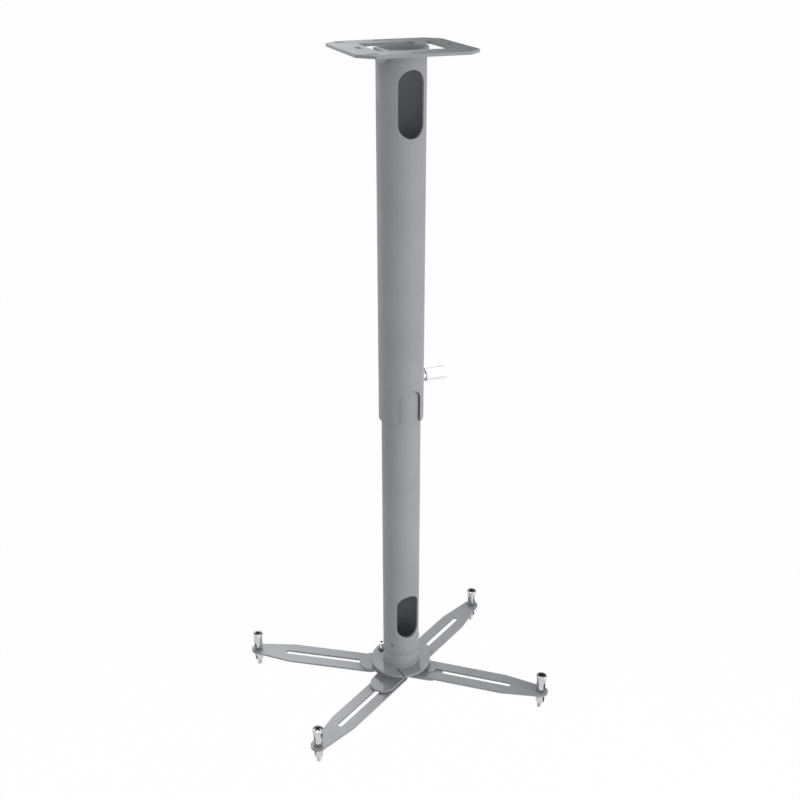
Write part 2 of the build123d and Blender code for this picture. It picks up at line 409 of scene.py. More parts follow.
@dataclass(frozen=True)
class ZincPlate:
    """Dull zinc plate with turned rings and a slight bloom."""

    name: str = "zinc_plate"
    colour: Colour = (0.52, 0.53, 0.55)
    rough: float = 0.3
    rough_down: float = 0.08
    rough_up: float = 0.1
    edge: float = 0.0003
    bloom_scale: float = 240.0
    rough_scale: float = 420.0
    ring_scale: float = 1200.0
    ring_stretch: tuple[float, float, float] = (1.0, 1.0, 6.0)
    ring_deep: float = 0.00002

    def material(self) -> bpy.types.Material:
        """Builds the node material.

        Returns:
            The material.
        """
        sheet = NodeSheet(self.name)
        spot = sheet.place()
        bloom = [(0.3, shade(self.colour, 0.82)), (0.6, self.colour), (0.75, shade(self.colour, 1.1))]
        sheet.feed(sheet.ramp(sheet.noise(spot, self.bloom_scale, 4.0), bloom), "Base Color")
        patches = sheet.noise(spot, self.rough_scale, 3.0)
        sheet.roughen(patches, self.rough - self.rough_down, self.rough + self.rough_up)
        sheet.shader.inputs["Metallic"].default_value = 1.0
        rings = sheet.noise(sheet.place(self.ring_stretch), self.ring_scale, 2.0)
        sheet.bump(rings, self.ring_deep, sheet.soft_edges(self.edge))
        return sheet.material


@dataclass(frozen=True)
class MouldedPlastic:
    """Black moulded plastic with a fine grain."""

    name: str = "black_acetal"
    colour: Colour = (0.018, 0.018, 0.02)
    rough: float = 0.42
    rough_down: float = 0.06
    rough_up: float = 0.08
    edge: float = 0.0003
    tone_scale: float = 90.0
    rough_scale: float = 500.0
    grain_scale: float = 2200.0
    grain_deep: float = 0.00002

    def material(self) -> bpy.types.Material:
        """Builds the node material.

        Returns:
            The material.
        """
        sheet = NodeSheet(self.name)
        spot = sheet.place()
        tones = [(NOISE_LOW, shade(self.colour, 0.8)), (NOISE_HIGH, shade(self.colour, 1.3))]
        sheet.feed(sheet.ramp(sheet.noise(spot, self.tone_scale, 3.0), tones), "Base Color")
        patches = sheet.noise(spot, self.rough_scale, 2.0)
        sheet.roughen(patches, self.rough - self.rough_down, self.rough + self.rough_up)
        sheet.bump(sheet.noise(spot, self.grain_scale, 2.0), self.grain_deep, sheet.soft_edges(self.edge))
        return sheet.material


class Finishes:
    """The finishes of the mount, with the painted shade for recesses and the seam's gap, each made once."""

    def __init__(self) -> None:
        """Builds every material."""
        self.coat = PowderCoat().material()
        cast = PowderCoat("silver_coat_on_casting", (0.367, 0.375, 0.392), rough=0.46, edge=0.0007)
        self.cast = cast.material()
        self.chrome = BrightPlate().material()
        self.knob = BrightPlate("polished_knob_plate", (0.94, 0.94, 0.95), 0.42).material()
        self.zinc = ZincPlate().material()
        # Dark zinc for the lock nuts, also worn by the seam ring as painted shade of the gap.
        self.dark_zinc_and_gap_shade = ZincPlate("dark_zinc_plate", (0.16, 0.165, 0.175), 0.42).material()
        self.rivet = ZincPlate("rivet_zinc_plate", (0.24, 0.245, 0.255), 0.42).material()
        # Near-black painted shade for the insides of recesses, sockets and grooves.
        self.recess = ZincPlate("recess_shade", (0.03, 0.03, 0.032), 0.5).material()
        self.plastic = MouldedPlastic().material()


@dataclass
class Shop:
    """Tools shared by the sub-assemblies: the frame, the finishes and mesh makers."""

    frame: dict
    finishes: Finishes

    def dress(self, node: str, material: bpy.types.Material) -> bpy.types.Object:
        """Gives a CAD node its material.

        Args:
            node: Node name.
            material: Finish to wear.

        Returns:
            The node's object.
        """
        shape = self.frame["nodes"][node]
        shape.data.materials.clear()
        shape.data.materials.append(material)
        LOG.info("dressed %s in %s", node, material.name)
        return shape

    def place(
        self,
        mesh: bmesh.types.BMesh,
        name: str,
        body: str,
        material: bpy.types.Material,
        slot: str,
        replaced: Iterable[str] = (),
        spot: Matrix | None = None,
        inside: bpy.types.Material | None = None,
    ) -> bpy.types.Object:
        """Turns a bmesh into a piece on a body.

        Args:
            mesh: Geometry in metres.
            name: Piece name.
            body: Body the piece rides on.
            material: Finish to wear.
            slot: The record's material slot; not used.
            replaced: CAD nodes that the piece stands for.
            spot: Where the geometry goes.
            inside: Painted shade for the faces that a cutter left.

        Returns:
            The new object.
        """
        if spot is not None:
            bmesh.ops.transform(mesh, matrix=spot, verts=mesh.verts)
        bmesh.ops.recalc_face_normals(mesh, faces=mesh.faces)
        data = bpy.data.meshes.new(name)
        mesh.to_mesh(data)
        mesh.free()
        data.materials.append(material)
        if inside is not None:
            data.materials.append(inside)
        data.shade_smooth()
        data.set_sharp_from_angle(angle=SHARP_ANGLE)
        piece = bpy.data.objects.new(name, data)
        bpy.context.scene.collection.objects.link(piece)
        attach(piece, body)
        for node in replaced:
            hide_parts(node)
        LOG.info("built %s on %s", name, body)
        return piece


def round_ring(mesh: bmesh.types.BMesh, radius: float, height: float, around: int) -> Ring:
    """Adds a ring of points about Z.

    Args:
        mesh: Mesh that takes the points.
        radius: Radius of the ring.
        height: Height of the ring.
        around: Points in the ring.

    Returns:
        The points.
    """
    turn = [FULL_TURN * i / around for i in range(around)]
    return [mesh.verts.new((radius * math.cos(a), radius * math.sin(a), height)) for a in turn]


def lathe(profile: Profile, around: int) -> bmesh.types.BMesh:
    """Turns a profile about Z into a closed solid.

    Args:
        profile: Radius and height of each point, from foot to top, in metres.
        around: Facets round the axis.

    Returns:
        The solid.
    """
    mesh = bmesh.new()
    rings: list[Ring] = []
    for radius, height in profile:
        if radius < POINT_R:
            rings.append([mesh.verts.new((0.0, 0.0, height))])
        else:
            rings.append(round_ring(mesh, radius, height, around))
    for low, high in zip(rings, rings[1:]):
        stitch(mesh, low, high)
    for ring in (rings[0], rings[-1]):
        if len(ring) > 1:
            mesh.faces.new(ring)
    return mesh


def stitch(mesh: bmesh.types.BMesh, low: Ring, high: Ring) -> None:
    """Joins two rings with faces.

    Args:
        mesh: Mesh that takes the faces.
        low: Lower ring, or one point.
        high: Upper ring, or one point.
    """
    count = max(len(low), len(high))
    for i in range(count):
        j = (i + 1) % count
        if len(low) == 1:
            mesh.faces.new((low[0], high[i], high[j]))
        elif len(high) == 1:
            mesh.faces.new((low[i], low[j], high[0]))
        else:
            mesh.faces.new((low[i], low[j], high[j], high[i]))


def ring_solid(profile: Profile, around: int) -> bmesh.types.BMesh:
    """Turns a closed profile about Z into a ring.

    Args:
        profile: Radius and height of each point round the section, in metres.
        around: Facets round the axis.

    Returns:
        The ring.
    """
    mesh = bmesh.new()
    rings = [round_ring(mesh, radius, height, around) for radius, height in profile]
    for low, high in zip(rings, rings[1:] + rings[:1]):
        stitch(mesh, low, high)
    return mesh


def threaded_rod(
    outside: float,
    pitch: float,
    low: float,
    high: float,
    around: int = 36,
    rings_per_turn: int = 8,
) -> bmesh.types.BMesh:
    """Makes a rod with a helical thread between two heights.

    Args:
        outside: Crest radius.
        pitch: Thread pitch.
        low: Foot height, with a chamfered lead.
        high: Top height, where the thread runs out.
        around: Facets round the axis.
        rings_per_turn: Rings of points in one turn of the thread.

    Returns:
        The closed rod.
    """
    deep = 0.58 * pitch
    lead_long = 0.9 * pitch
    lead_sink = 0.25 * deep
    crest_gain, crest_cut = 1.35, 0.12
    steps = max(rings_per_turn, int(round((high - low) / pitch * rings_per_turn)))
    mesh = bmesh.new()
    rings: list[Ring] = []
    for k in range(steps + 1):
        height = low + (high - low) * k / steps
        lead = min(1.0, (height - low) / lead_long)
        ring = []
        for i in range(around):
            turn = i / around
            phase = (height / pitch - turn) % 1.0
            crest = 1.0 - abs(2.0 * phase - 1.0)
            crest = min(1.0, max(0.0, crest_gain * crest - crest_cut))
            radius = outside - deep + deep * crest * lead - lead_sink * (1.0 - lead)
            angle = FULL_TURN * turn
            ring.append(mesh.verts.new((radius * math.cos(angle), radius * math.sin(angle), height)))
        rings.append(ring)
    for under, over in zip(rings, rings[1:]):
        stitch(mesh, under, over)
    mesh.faces.new(rings[0])
    mesh.faces.new(rings[-1])
    return mesh


def hex_nut(flats: float, bore: float, low: float, high: float, around: int = 72) -> bmesh.types.BMesh:
    """Makes a hexagon nut with chamfered corners.

    Args:
        flats: Width across flats.
        bore: Bore radius.
        low: Foot height.
        high: Top height.
        around: Points round the axis, a multiple of six.

    Returns:
        The closed nut.
    """
    apothem = flats / 2.0
    face_r = 0.97 * apothem
    lead = 0.12 * bore
    chamfer_slope = 0.5
    mesh = bmesh.new()
    rings: list[Ring] = []

    def ring(reach: Callable[[float], float], height: Callable[[float], float]) -> None:
        """Adds one ring, whose reach and height depend on the angle."""
        turn = [FULL_TURN * i / around for i in range(around)]
        points = [(reach(a) * math.cos(a), reach(a) * math.sin(a), height(a)) for a in turn]
        rings.append([mesh.verts.new(point) for point in points])

    def side(angle: float) -> float:
        """Gives the hexagon's reach at an angle."""
        return apothem / math.cos((angle + math.pi / 6.0) % (math.pi / 3.0) - math.pi / 6.0)

    def drop(angle: float) -> float:
        """Gives how far the chamfer cuts down at an angle."""
        return chamfer_slope * (side(angle) - face_r)

    ring(lambda a: bore + lead, lambda a: low)
    ring(lambda a: face_r, lambda a: low)
    ring(side, lambda a: low + drop(a))
    ring(side, lambda a: high - drop(a))
    ring(lambda a: face_r, lambda a: high)
    ring(lambda a: bore + lead, lambda a: high)
    ring(lambda a: bore, lambda a: high - lead)
    ring(lambda a: bore, lambda a: low + lead)
    for under, over in zip(rings, rings[1:] + rings[:1]):
        stitch(mesh, under, over)
    return mesh


def dome(reach: float, low: float, rise: float, steps: int = 6) -> Profile:
    """Gives the profile of a flattened dome.

    Args:
        reach: Radius at the foot.
        low: Height of the foot.
        rise: Height of the crown above it.
        steps: Points along the curve.

    Returns:
        Points from the rim to the crown.
    """
    turn = [QUARTER_TURN * k / steps for k in range(steps + 1)]
    return [(reach * math.cos(a), low + rise * math.sin(a)) for a in turn]


def cut_with(piece: bmesh.types.BMesh, cutter: bmesh.types.BMesh) -> bmesh.types.BMesh:
    """Cuts one closed mesh out of another.

    Args:
        piece: Mesh to cut.
        cutter: Mesh that is taken away.

    Returns:
        The cut mesh, whose new faces have material index one.
    """
    objects = []
    for mesh, label in ((piece, "blank"), (cutter, "cutter")):
        bmesh.ops.recalc_face_normals(mesh, faces=mesh.faces)
        data = bpy.data.meshes.new(label)
        for face in mesh.faces:
            face.material_index = int(mesh is cutter)
        mesh.to_mesh(data)
        mesh.free()
        data.materials.append(None)
        data.materials.append(None)
        part = bpy.data.objects.new(label, data)
        bpy.context.scene.collection.objects.link(part)
        objects.append(part)
    blank, tool = objects
    change = blank.modifiers.new("cut", "BOOLEAN")
    change.operation = "DIFFERENCE"
    change.solver = "EXACT"
    change.object = tool
    graph = bpy.context.evaluated_depsgraph_get()
    result = bmesh.new()
    result.from_mesh(blank.evaluated_get(graph).to_mesh())
    for part in objects:
        data = part.data
        bpy.data.objects.remove(part)
        bpy.data.meshes.remove(data)
    return result


def cross_cutter(long: float, wide: float, top: float, deep: float, turn: float) -> bmesh.types.BMesh:
    """Makes the tapered cross that a screwdriver recess leaves.

    Args:
        long: Length across the wings at the top.
        wide: Width of a wing.
        top: Height of the screw's crown.
        deep: Depth of the recess.
        turn: Angle of the cross about Z.

    Returns:
        The closed cutter.
    """
    mesh = bmesh.new()
    half, wing = long / 2.0, wide / 2.0
    flare, taper, above = 1.12, 0.5, 0.3
    corners = [(wing, wing), (wing, half), (-wing, half), (-wing, wing), (-half, wing), (-half, -wing)]
    corners += [(-wing, -wing), (-wing, -half), (wing, -half), (wing, -wing), (half, -wing), (half, wing)]
    over = [mesh.verts.new((x * flare, y * flare, top + deep * above)) for x, y in corners]
    under = [mesh.verts.new((x * taper, y * taper, top - deep)) for x, y in corners]
    stitch(mesh, under, over)
    mesh.faces.new(over)
    mesh.faces.new(under)
    bmesh.ops.transform(mesh, matrix=Matrix.Rotation(turn, 4, "Z"), verts=mesh.verts)
    return mesh


def merge(first: bmesh.types.BMesh, *others: bmesh.types.BMesh) -> bmesh.types.BMesh:
    """Adds meshes to the first one.

    Args:
        first: Mesh that takes the rest.
        others: Meshes to add, which are used up.

    Returns:
        The first mesh.
    """
    for other in others:
        data = bpy.data.meshes.new("merge")
        other.to_mesh(data)
        other.free()
        first.from_mesh(data)
        bpy.data.meshes.remove(data)
    return first


def centre(node: str) -> Vector:
    """Gives the middle of a CAD node's box."""
    low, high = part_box(node)
    return (low + high) / 2.0


@dataclass
class CeilingEnd:
    """Ceiling plate, outer tube and the hidden pieces inside it."""

    shop: Shop

    def build(self) -> None:
        """Gives the CAD nodes their finishes."""
        done = self.shop.finishes
        self.shop.dress("ceiling_plate", done.coat)
        self.shop.dress("outer_tube", done.coat)
        self.shop.dress("clamp_insert", done.zinc)
        self.shop.dress("guide_liner", done.plastic)


@dataclass
class ClampKnob:
    """Hand knob that clamps the inner tube."""

    shop: Shop
    flange: float = 0.35 * MM
    groove_wide: float = 0.6 * MM
    groove_deep: float = 0.7 * MM
    edge: float = 0.9 * MM
    dish: float = 0.3 * MM
    dish_rim: float = 0.55
    dish_floor: float = 0.5
    around: int = 72

    def build(self) -> None:
        """Makes the polished knob with a groove at its foot, darkened with painted shade, and dresses its
        screw.
        """
        low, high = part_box("clamp_knob")
        reach = (high.z - low.z) / 2.0
        long = high.x - low.x
        floor, body = reach - self.groove_deep, self.flange + self.groove_wide
        profile: Profile = [(0.0, 0.0), (reach, 0.0), (reach, self.flange)]
        profile += [(floor, self.flange), (floor, body), (reach, body)]
        profile += [(reach - self.edge + r, h) for r, h in dome(self.edge, long - self.edge, self.edge)]
        dished = long - self.dish
        profile += [(self.dish_rim * reach, long), (self.dish_floor * reach, dished), (0.0, dished)]
        knob = lathe(profile, self.around)
        # Painted shade: the groove's faces take the second, near-black material.
        for face in knob.faces:
            face.material_index = int(self.flange <= face.calc_center_median().z <= body)
        middle = centre("clamp_knob")
        spot = Matrix.Translation((low.x, middle.y, middle.z)) @ Matrix.Rotation(QUARTER_TURN, 4, "Y")
        done = self.shop.finishes
        self.shop.place(
            knob,
            "knob_polished",
            Body.CLAMP.value,
            done.knob,
            "chrome",
            ["clamp_knob"],
            spot,
            inside=done.recess,
        )
        self.shop.dress("clamp_screw", done.zinc)


@dataclass
class DropTube:
    """Inner tube with its foot plug, pivot disc and tilt screws."""

    shop: Shop
    rivet_count: int = 3
    rivet_start: float = math.radians(-139.0)
    tube_r: float = 22.0 * MM
    rivet_r: float = 2.9 * MM
    rivet_rise: float = 0.75 * MM
    rivet_sink: float = 0.1 * MM
    rivet_shank_r: float = 1.6 * MM
    rivet_long: float = 3.5 * MM
    thread_r: float = 2.0 * MM
    pitch: float = 0.7 * MM
    head_r: float = 3.5 * MM
    head_high: float = 4.0 * MM
    socket: float = 3.2 * MM
    socket_deep: float = 2.4 * MM
    socket_over: float = 1.0 * MM
    head_foot_cut: float = 0.15 * MM
    head_soft: float = 0.45 * MM
    head_soft_share: float = 0.3
    rod_sink: float = 0.2 * MM
    nut_flats: float = 7.0 * MM
    seam_half: float = 0.3 * MM
    seam_deep: float = 0.8 * MM
    seam_proud: float = 0.02 * MM
    seam_flat: float = 0.6

    def build(self) -> None:
        """Dresses the tube and makes its small fasteners."""
        done = self.shop.finishes
        self.shop.dress("guide_ring", done.plastic)
        self.shop.dress("inner_tube", done.coat)
        self.shop.dress("foot_plug", done.cast)
        self.shop.dress("pivot_disc", done.coat)
        self.shop.dress("ball_seat", done.plastic)
        self.seam()
        self.rivets()
        self.tilt_screws()

    def seam(self) -> None:
        """Makes a dark ring where the tube's end sits on the plug's collar, as painted shade of the gap at
        the joint.
        """
        low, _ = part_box("inner_tube")
        half = self.seam_half
        flat = self.seam_flat * half
        outside, inside = self.tube_r + self.seam_proud, self.tube_r - self.seam_deep
        shoulder = self.tube_r - self.seam_proud
        section: Profile = [(inside, low.z - half), (shoulder, low.z - half), (outside, low.z - flat)]
        section += [(outside, low.z + flat), (shoulder, low.z + half), (inside, low.z + half)]
        # Painted shade: a dark ring stands in for the shaded gap at the joint.
        dark = self.shop.finishes.dark_zinc_and_gap_shade
        self.shop.place(ring_solid(section, 96), "plug_seam_painted_shade", Body.DROP.value, dark, "steel")

    def rivets(self) -> None:
        """Makes the domed rivets that hold the plug in the tube."""
        low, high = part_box("plug_rivets")
        shank_in = self.tube_r - self.rivet_long
        seat = math.sqrt(self.tube_r**2 - self.rivet_r**2) - self.rivet_sink
        profile: Profile = [(0.0, shank_in), (self.rivet_shank_r, shank_in), (self.rivet_shank_r, seat)]
        profile += dome(self.rivet_r, seat, self.tube_r + self.rivet_rise - seat)
        level = Matrix.Translation((0.0, 0.0, (low.z + high.z) / 2.0))
        outward = Matrix.Rotation(QUARTER_TURN, 4, "Y")
        rivets = bmesh.new()
        for k in range(self.rivet_count):
            turn = self.rivet_start + FULL_TURN * k / self.rivet_count
            spot = level @ Matrix.Rotation(turn, 4, "Z") @ outward
            rivet = lathe(profile, 32)
            bmesh.ops.transform(rivet, matrix=spot, verts=rivet.verts)
            merge(rivets, rivet)
        finish = self.shop.finishes.rivet
        self.shop.place(rivets, "plug_rivets_domed", Body.DROP.value, finish, "steel", ["plug_rivets"])

    def tilt_screws(self) -> None:
        """Makes the two socket screws and their lock nuts."""
        done = self.shop.finishes
        low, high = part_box("tilt_screws")
        nut_low, nut_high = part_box("tilt_lock_nuts")
        middle = centre("tilt_screws")
        head_low = high.z - self.head_high
        soft = self.head_soft
        step = self.head_soft_share * soft
        cut = self.head_foot_cut
        profile: Profile = [(0.0, head_low), (self.head_r - cut, head_low), (self.head_r, head_low + cut)]
        profile += [(self.head_r, high.z - soft), (self.head_r - step, high.z - step)]
        profile += [(self.head_r - soft, high.z), (0.0, high.z)]
        corner = self.socket / 2.0 * HEX_CORNER
        well_low, well_high = high.z - self.socket_deep, high.z + self.socket_over
        well: Profile = [(0.0, well_low), (corner, well_low), (corner, well_high), (0.0, well_high)]
        screws = bmesh.new()
        nuts = bmesh.new()
        for x in (low.x + self.head_r, high.x - self.head_r):
            spot = Matrix.Translation((x, middle.y, 0.0))
            head = cut_with(lathe(profile, 48), lathe(well, 6))
            rod = threaded_rod(self.thread_r, self.pitch, low.z, head_low + self.rod_sink)
            screw = merge(head, rod)
            bmesh.ops.transform(screw, matrix=spot, verts=screw.verts)
            merge(screws, screw)
            nut = hex_nut(self.nut_flats, self.thread_r, nut_low.z, nut_high.z)
            bmesh.ops.transform(nut, matrix=spot, verts=nut.verts)
            merge(nuts, nut)
        drop = Body.DROP.value
        self.shop.place(
            screws,
            "tilt_screws_threaded",
            drop,
            done.knob,
            "chrome",
            ["tilt_screws"],
            # The socket wells' faces carry the painted recess shade.
            inside=done.recess,
        )
        self.shop.place(nuts, "tilt_nuts_chamfered", drop, done.dark_zinc_and_gap_shade, "steel", ["tilt_lock_nuts"])


@dataclass
class TiltHead:
    """Ball stud and arm carrier."""

    shop: Shop

    def build(self) -> None:
        """Dresses the carrier and the pieces fixed to it."""
        done = self.shop.finishes
        self.shop.dress("ball_stud", done.zinc)
        self.shop.dress("arm_carrier", done.coat)
        self.shop.dress("press_nuts", done.coat)
        self.shop.dress("arm_spacers", done.zinc)


@dataclass
class SlottedArm:
    """One arm with its pivot bolt, sleeves and projector screw."""

    shop: Shop
    side: Side
    thread_r: float = 3.0 * MM
    pitch: float = 1.0 * MM
    bore_r: float = 3.2 * MM
    head_high: float = 2.4 * MM
    head_edge: float = 0.9 * MM
    rise: float = 0.5 * MM
    recess_long: float = 8.6 * MM
    recess_wide: float = 2.2 * MM
    recess_deep: float = 1.9 * MM
    recess_turn: float = 0.35
    head_foot_cut: float = 0.25 * MM
    shank_gap: float = 0.2 * MM
    upper_cuts: tuple[float, float] = (0.4 * MM, 0.4 * MM)
    lower_cuts: tuple[float, float] = (1.2 * MM, 0.3 * MM)
    cut_in: float = 0.25
    cut_middle: float = 0.55
    cut_long: float = 1.2

    @property
    def body(self) -> str:
        """Name of the body the arm rides on."""
        return self.side.value + "_arm_set"

    def node(self, tail: str) -> str:
        """Name of one of this arm's CAD nodes."""
        return self.side.value + "_" + tail

    def build(self) -> None:
        """Dresses the arm and makes its bright tip pieces."""
        done = self.shop.finishes
        self.shop.dress(self.node("arm"), done.coat)
        self.shop.dress(self.node("bolt"), done.coat)
        self.sleeve(self.node("upper_sleeve"), *self.upper_cuts)
        self.sleeve(self.node("lower_sleeve"), *self.lower_cuts)
        self.screw()

    def sleeve(self, node: str, foot_cut: float, top_cut: float) -> None:
        """Makes one bright sleeve with turned edges.

        Args:
            node: CAD node it stands for.
            foot_cut: Chamfer at its foot.
            top_cut: Chamfer at its top.
        """
        low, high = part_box(node)
        middle = centre(node)
        reach = (high.x - low.x) / 2.0
        bore = self.bore_r
        profile: Profile = [(bore, low.z), (reach - foot_cut, low.z)]
        profile += [(reach - self.cut_in * foot_cut, low.z + self.cut_middle * foot_cut)]
        profile += [(reach, low.z + self.cut_long * foot_cut), (reach, high.z - self.cut_long * top_cut)]
        profile += [(reach - self.cut_in * top_cut, high.z - self.cut_middle * top_cut)]
        profile += [(reach - top_cut, high.z), (bore, high.z)]
        spot = Matrix.Translation((middle.x, middle.y, 0.0))
        chrome = self.shop.finishes.chrome
        self.shop.place(ring_solid(profile, 56), node + "_turned", self.body, chrome, "chrome", [node], spot)

    def screw(self) -> None:
        """Makes the projector screw with its cross recess and thread."""
        node = self.node("tip_screw")
        low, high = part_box(node)
        _, top_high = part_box(self.node("upper_sleeve"))
        foot_low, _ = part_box(self.node("lower_sleeve"))
        middle = centre(node)
        reach = (high.x - low.x) / 2.0
        seat = top_high.z
        crown = seat + self.head_high
        edge = self.head_edge
        cut = self.head_foot_cut
        profile: Profile = [(0.0, seat), (reach - cut, seat), (reach, seat + cut)]
        profile += [(reach - edge + r, h) for r, h in dome(edge, crown - edge - self.rise, edge, 5)]
        profile += dome(reach - edge, crown - self.rise, self.rise, 8)[1:]
        cross = cross_cutter(self.recess_long, self.recess_wide, crown, self.recess_deep, self.recess_turn)
        head = cut_with(lathe(profile, 64), cross)
        shank_r = self.thread_r - self.shank_gap
        shank = lathe([(0.0, foot_low.z), (shank_r, foot_low.z), (shank_r, seat), (0.0, seat)], 32)
        end = threaded_rod(self.thread_r, self.pitch, low.z, foot_low.z)
        spot = Matrix.Translation((middle.x, middle.y, 0.0))
        done = self.shop.finishes
        self.shop.place(
            merge(head, shank, end),
            node + "_recessed",
            self.body,
            done.chrome,
            "chrome",
            [node],
            spot,
            # The cross recess's faces carry the painted recess shade.
            inside=done.recess,
        )


@dataclass
class Studio:
    """Camera, lamps, floor and backdrop."""

    focal_px: float = 1021.4
    frame_px: float = 800.0
    sensor: float = 36.0
    away: float = 1.0263
    height: float = 0.1164
    azimuth: float = math.radians(-20.42)
    pitch: float = math.radians(25.59)
    yaw: float = math.radians(-0.067)
    floor_z: float = -1.55
    floor_white: float = 0.96
    side_light: float = 0.92
    top_light: float = 0.28
    fade_top: float = 0.9
    middle_z: float = -0.4
    beam_soft: float = 0.02
    floor_half: float = 30.0
    floor_glow: float = 1.015
    strip_lift: float = 0.02
    matte: float = 0.9
    near_clip: float = 0.01
    far_clip: float = 50.0

    def build(self) -> None:
        """Sets the stage."""
        self.camera()
        self.lamps()
        self.cards()
        self.floor()
        self.world()
        bpy.context.scene.view_settings.view_transform = "Standard"

    def camera(self) -> None:
        """Places the camera where the photograph was taken."""
        data = bpy.data.cameras.new("camera")
        data.sensor_fit = "HORIZONTAL"
        data.sensor_width = self.sensor
        data.lens = self.focal_px / self.frame_px * self.sensor
        data.clip_start = self.near_clip
        data.clip_end = self.far_clip
        view = bpy.data.objects.new("camera", data)
        bpy.context.scene.collection.objects.link(view)
        back = Vector((math.sin(self.azimuth), -math.cos(self.azimuth), 0.0))
        view.location = self.away * back + Vector((0.0, 0.0, self.height))
        view.rotation_euler = (QUARTER_TURN - self.pitch, 0.0, self.azimuth - self.yaw)
        bpy.context.scene.camera = view

    def seen_from_camera(self, right: float, height: float, beyond: float) -> Vector:
        """Turns a place seen from the camera into the frame.

        Args:
            right: Metres right of the tube.
            height: Height in the frame.
            beyond: Metres behind the tube.

        Returns:
            The place in the frame.
        """
        across = Vector((math.cos(self.azimuth), math.sin(self.azimuth), 0.0))
        away = Vector((-math.sin(self.azimuth), math.cos(self.azimuth), 0.0))
        return right * across + beyond * away + Vector((0.0, 0.0, height))

    def hang(self, name: str, data: bpy.types.ID, spot: Vector, aim: Vector) -> bpy.types.Object:
        """Hangs a lamp or a card in the studio.

        Args:
            name: Object name.
            data: Lamp or mesh.
            spot: Where it hangs.
            aim: What it faces.

        Returns:
            The object.
        """
        thing = bpy.data.objects.new(name, data)
        bpy.context.scene.collection.objects.link(thing)
        thing.location = spot
        thing.rotation_euler = (aim - spot).to_track_quat("-Z", "Y").to_euler()
        return thing

    def soft_box(self, name: str, spot: Vector, size: tuple[float, float], power: float) -> None:
        """Hangs a soft box that faces the middle of the mount.

        Args:
            name: Lamp name.
            spot: Where it hangs.
            size: Width and height.
            power: Watts.
        """
        data = bpy.data.lights.new(name, "AREA")
        data.shape = "RECTANGLE"
        data.size, data.size_y = size
        data.energy = power
        self.hang(name, data, spot, self.seen_from_camera(0.0, self.middle_z, 0.0))

    def beam(self, name: str, spot: Vector, aim: Vector, spread: float, power: float) -> None:
        """Hangs a soft-edged beam.

        Args:
            name: Lamp name.
            spot: Where it hangs.
            aim: What it points at.
            spread: Full angle of the beam.
            power: Watts.
        """
        data = bpy.data.lights.new(name, "SPOT")
        data.spot_size = spread
        data.spot_blend = 1.0
        data.shadow_soft_size = self.beam_soft
        data.energy = power
        self.hang(name, data, spot, aim)

    def lamps(self) -> None:
        """Hangs three beams high behind the mount, a large soft box on its right and a weak one behind."""
        at = self.seen_from_camera
        self.beam("top_beam", at(-0.03, 1.0, 0.5), at(-0.08, -0.75, 0.02), math.radians(20.0), 46.0)
        self.beam("left_beam", at(-0.25, 1.0, 0.5), at(-0.2, -0.75, -0.06), math.radians(13.0), 54.0)
        self.beam("plate_beam", at(-0.35, 0.9, 0.35), at(-0.11, 0.0, -0.03), math.radians(17.0), 40.0)
        self.soft_box("right_box", at(1.35, -0.3, -0.8), (1.2, 1.6), 13.5)
        self.soft_box("back_box", at(-1.3, -0.35, 0.7), (0.8, 1.6), 2.0)

    def card(self, name: str, spot: Vector, aim: Vector, size: tuple[float, float], tone: float) -> None:
        """Hangs a dark card that is seen only in reflections.

        Args:
            name: Card name.
            spot: Where it hangs.
            aim: What it faces.
            size: Width and height.
            tone: How light it is.
        """
        sheet = NodeSheet(name)
        shades = [(NOISE_LOW, grey(0.9 * tone)), (NOISE_HIGH, grey(tone))]
        sheet.feed(sheet.ramp(sheet.noise(sheet.place(), 6.0, 2.0), shades), "Base Color")
        sheet.shader.inputs["Roughness"].default_value = self.matte
        mesh = bmesh.new()
        bmesh.ops.create_grid(mesh, x_segments=1, y_segments=1, size=0.5)
        bmesh.ops.scale(mesh, vec=(*size, 1.0), verts=mesh.verts)
        data = bpy.data.meshes.new(name)
        mesh.to_mesh(data)
        mesh.free()
        data.materials.append(sheet.material)
        card = self.hang(name, data, spot, aim)
        card.visible_camera = False
        card.visible_diffuse = False
        card.visible_shadow = False

    def cards(self) -> None:
        """Lays two dark strips on the floor and hangs two cards behind, for what is mirrored."""
        at = self.seen_from_camera
        low = self.floor_z + self.strip_lift
        # The strips face a hair off the vertical, which settles their turn about it.
        self.card("left_strip", at(-1.04, low, 0.15), at(-1.04, 0.0, 0.15001), (0.34, 1.3), 0.06)
        self.card("right_strip", at(0.95, low, 0.15), at(0.95, 0.0, 0.15001), (0.4, 1.3), 0.12)
        self.card("back_card", at(0.0, 0.63, 1.6), at(0.0, -0.75, 0.0), (1.6, 0.45), 0.22)
        self.card("plate_card", at(0.5, 0.3, 1.2), at(0.05, 0.0, 0.0), (1.0, 0.8), 0.05)

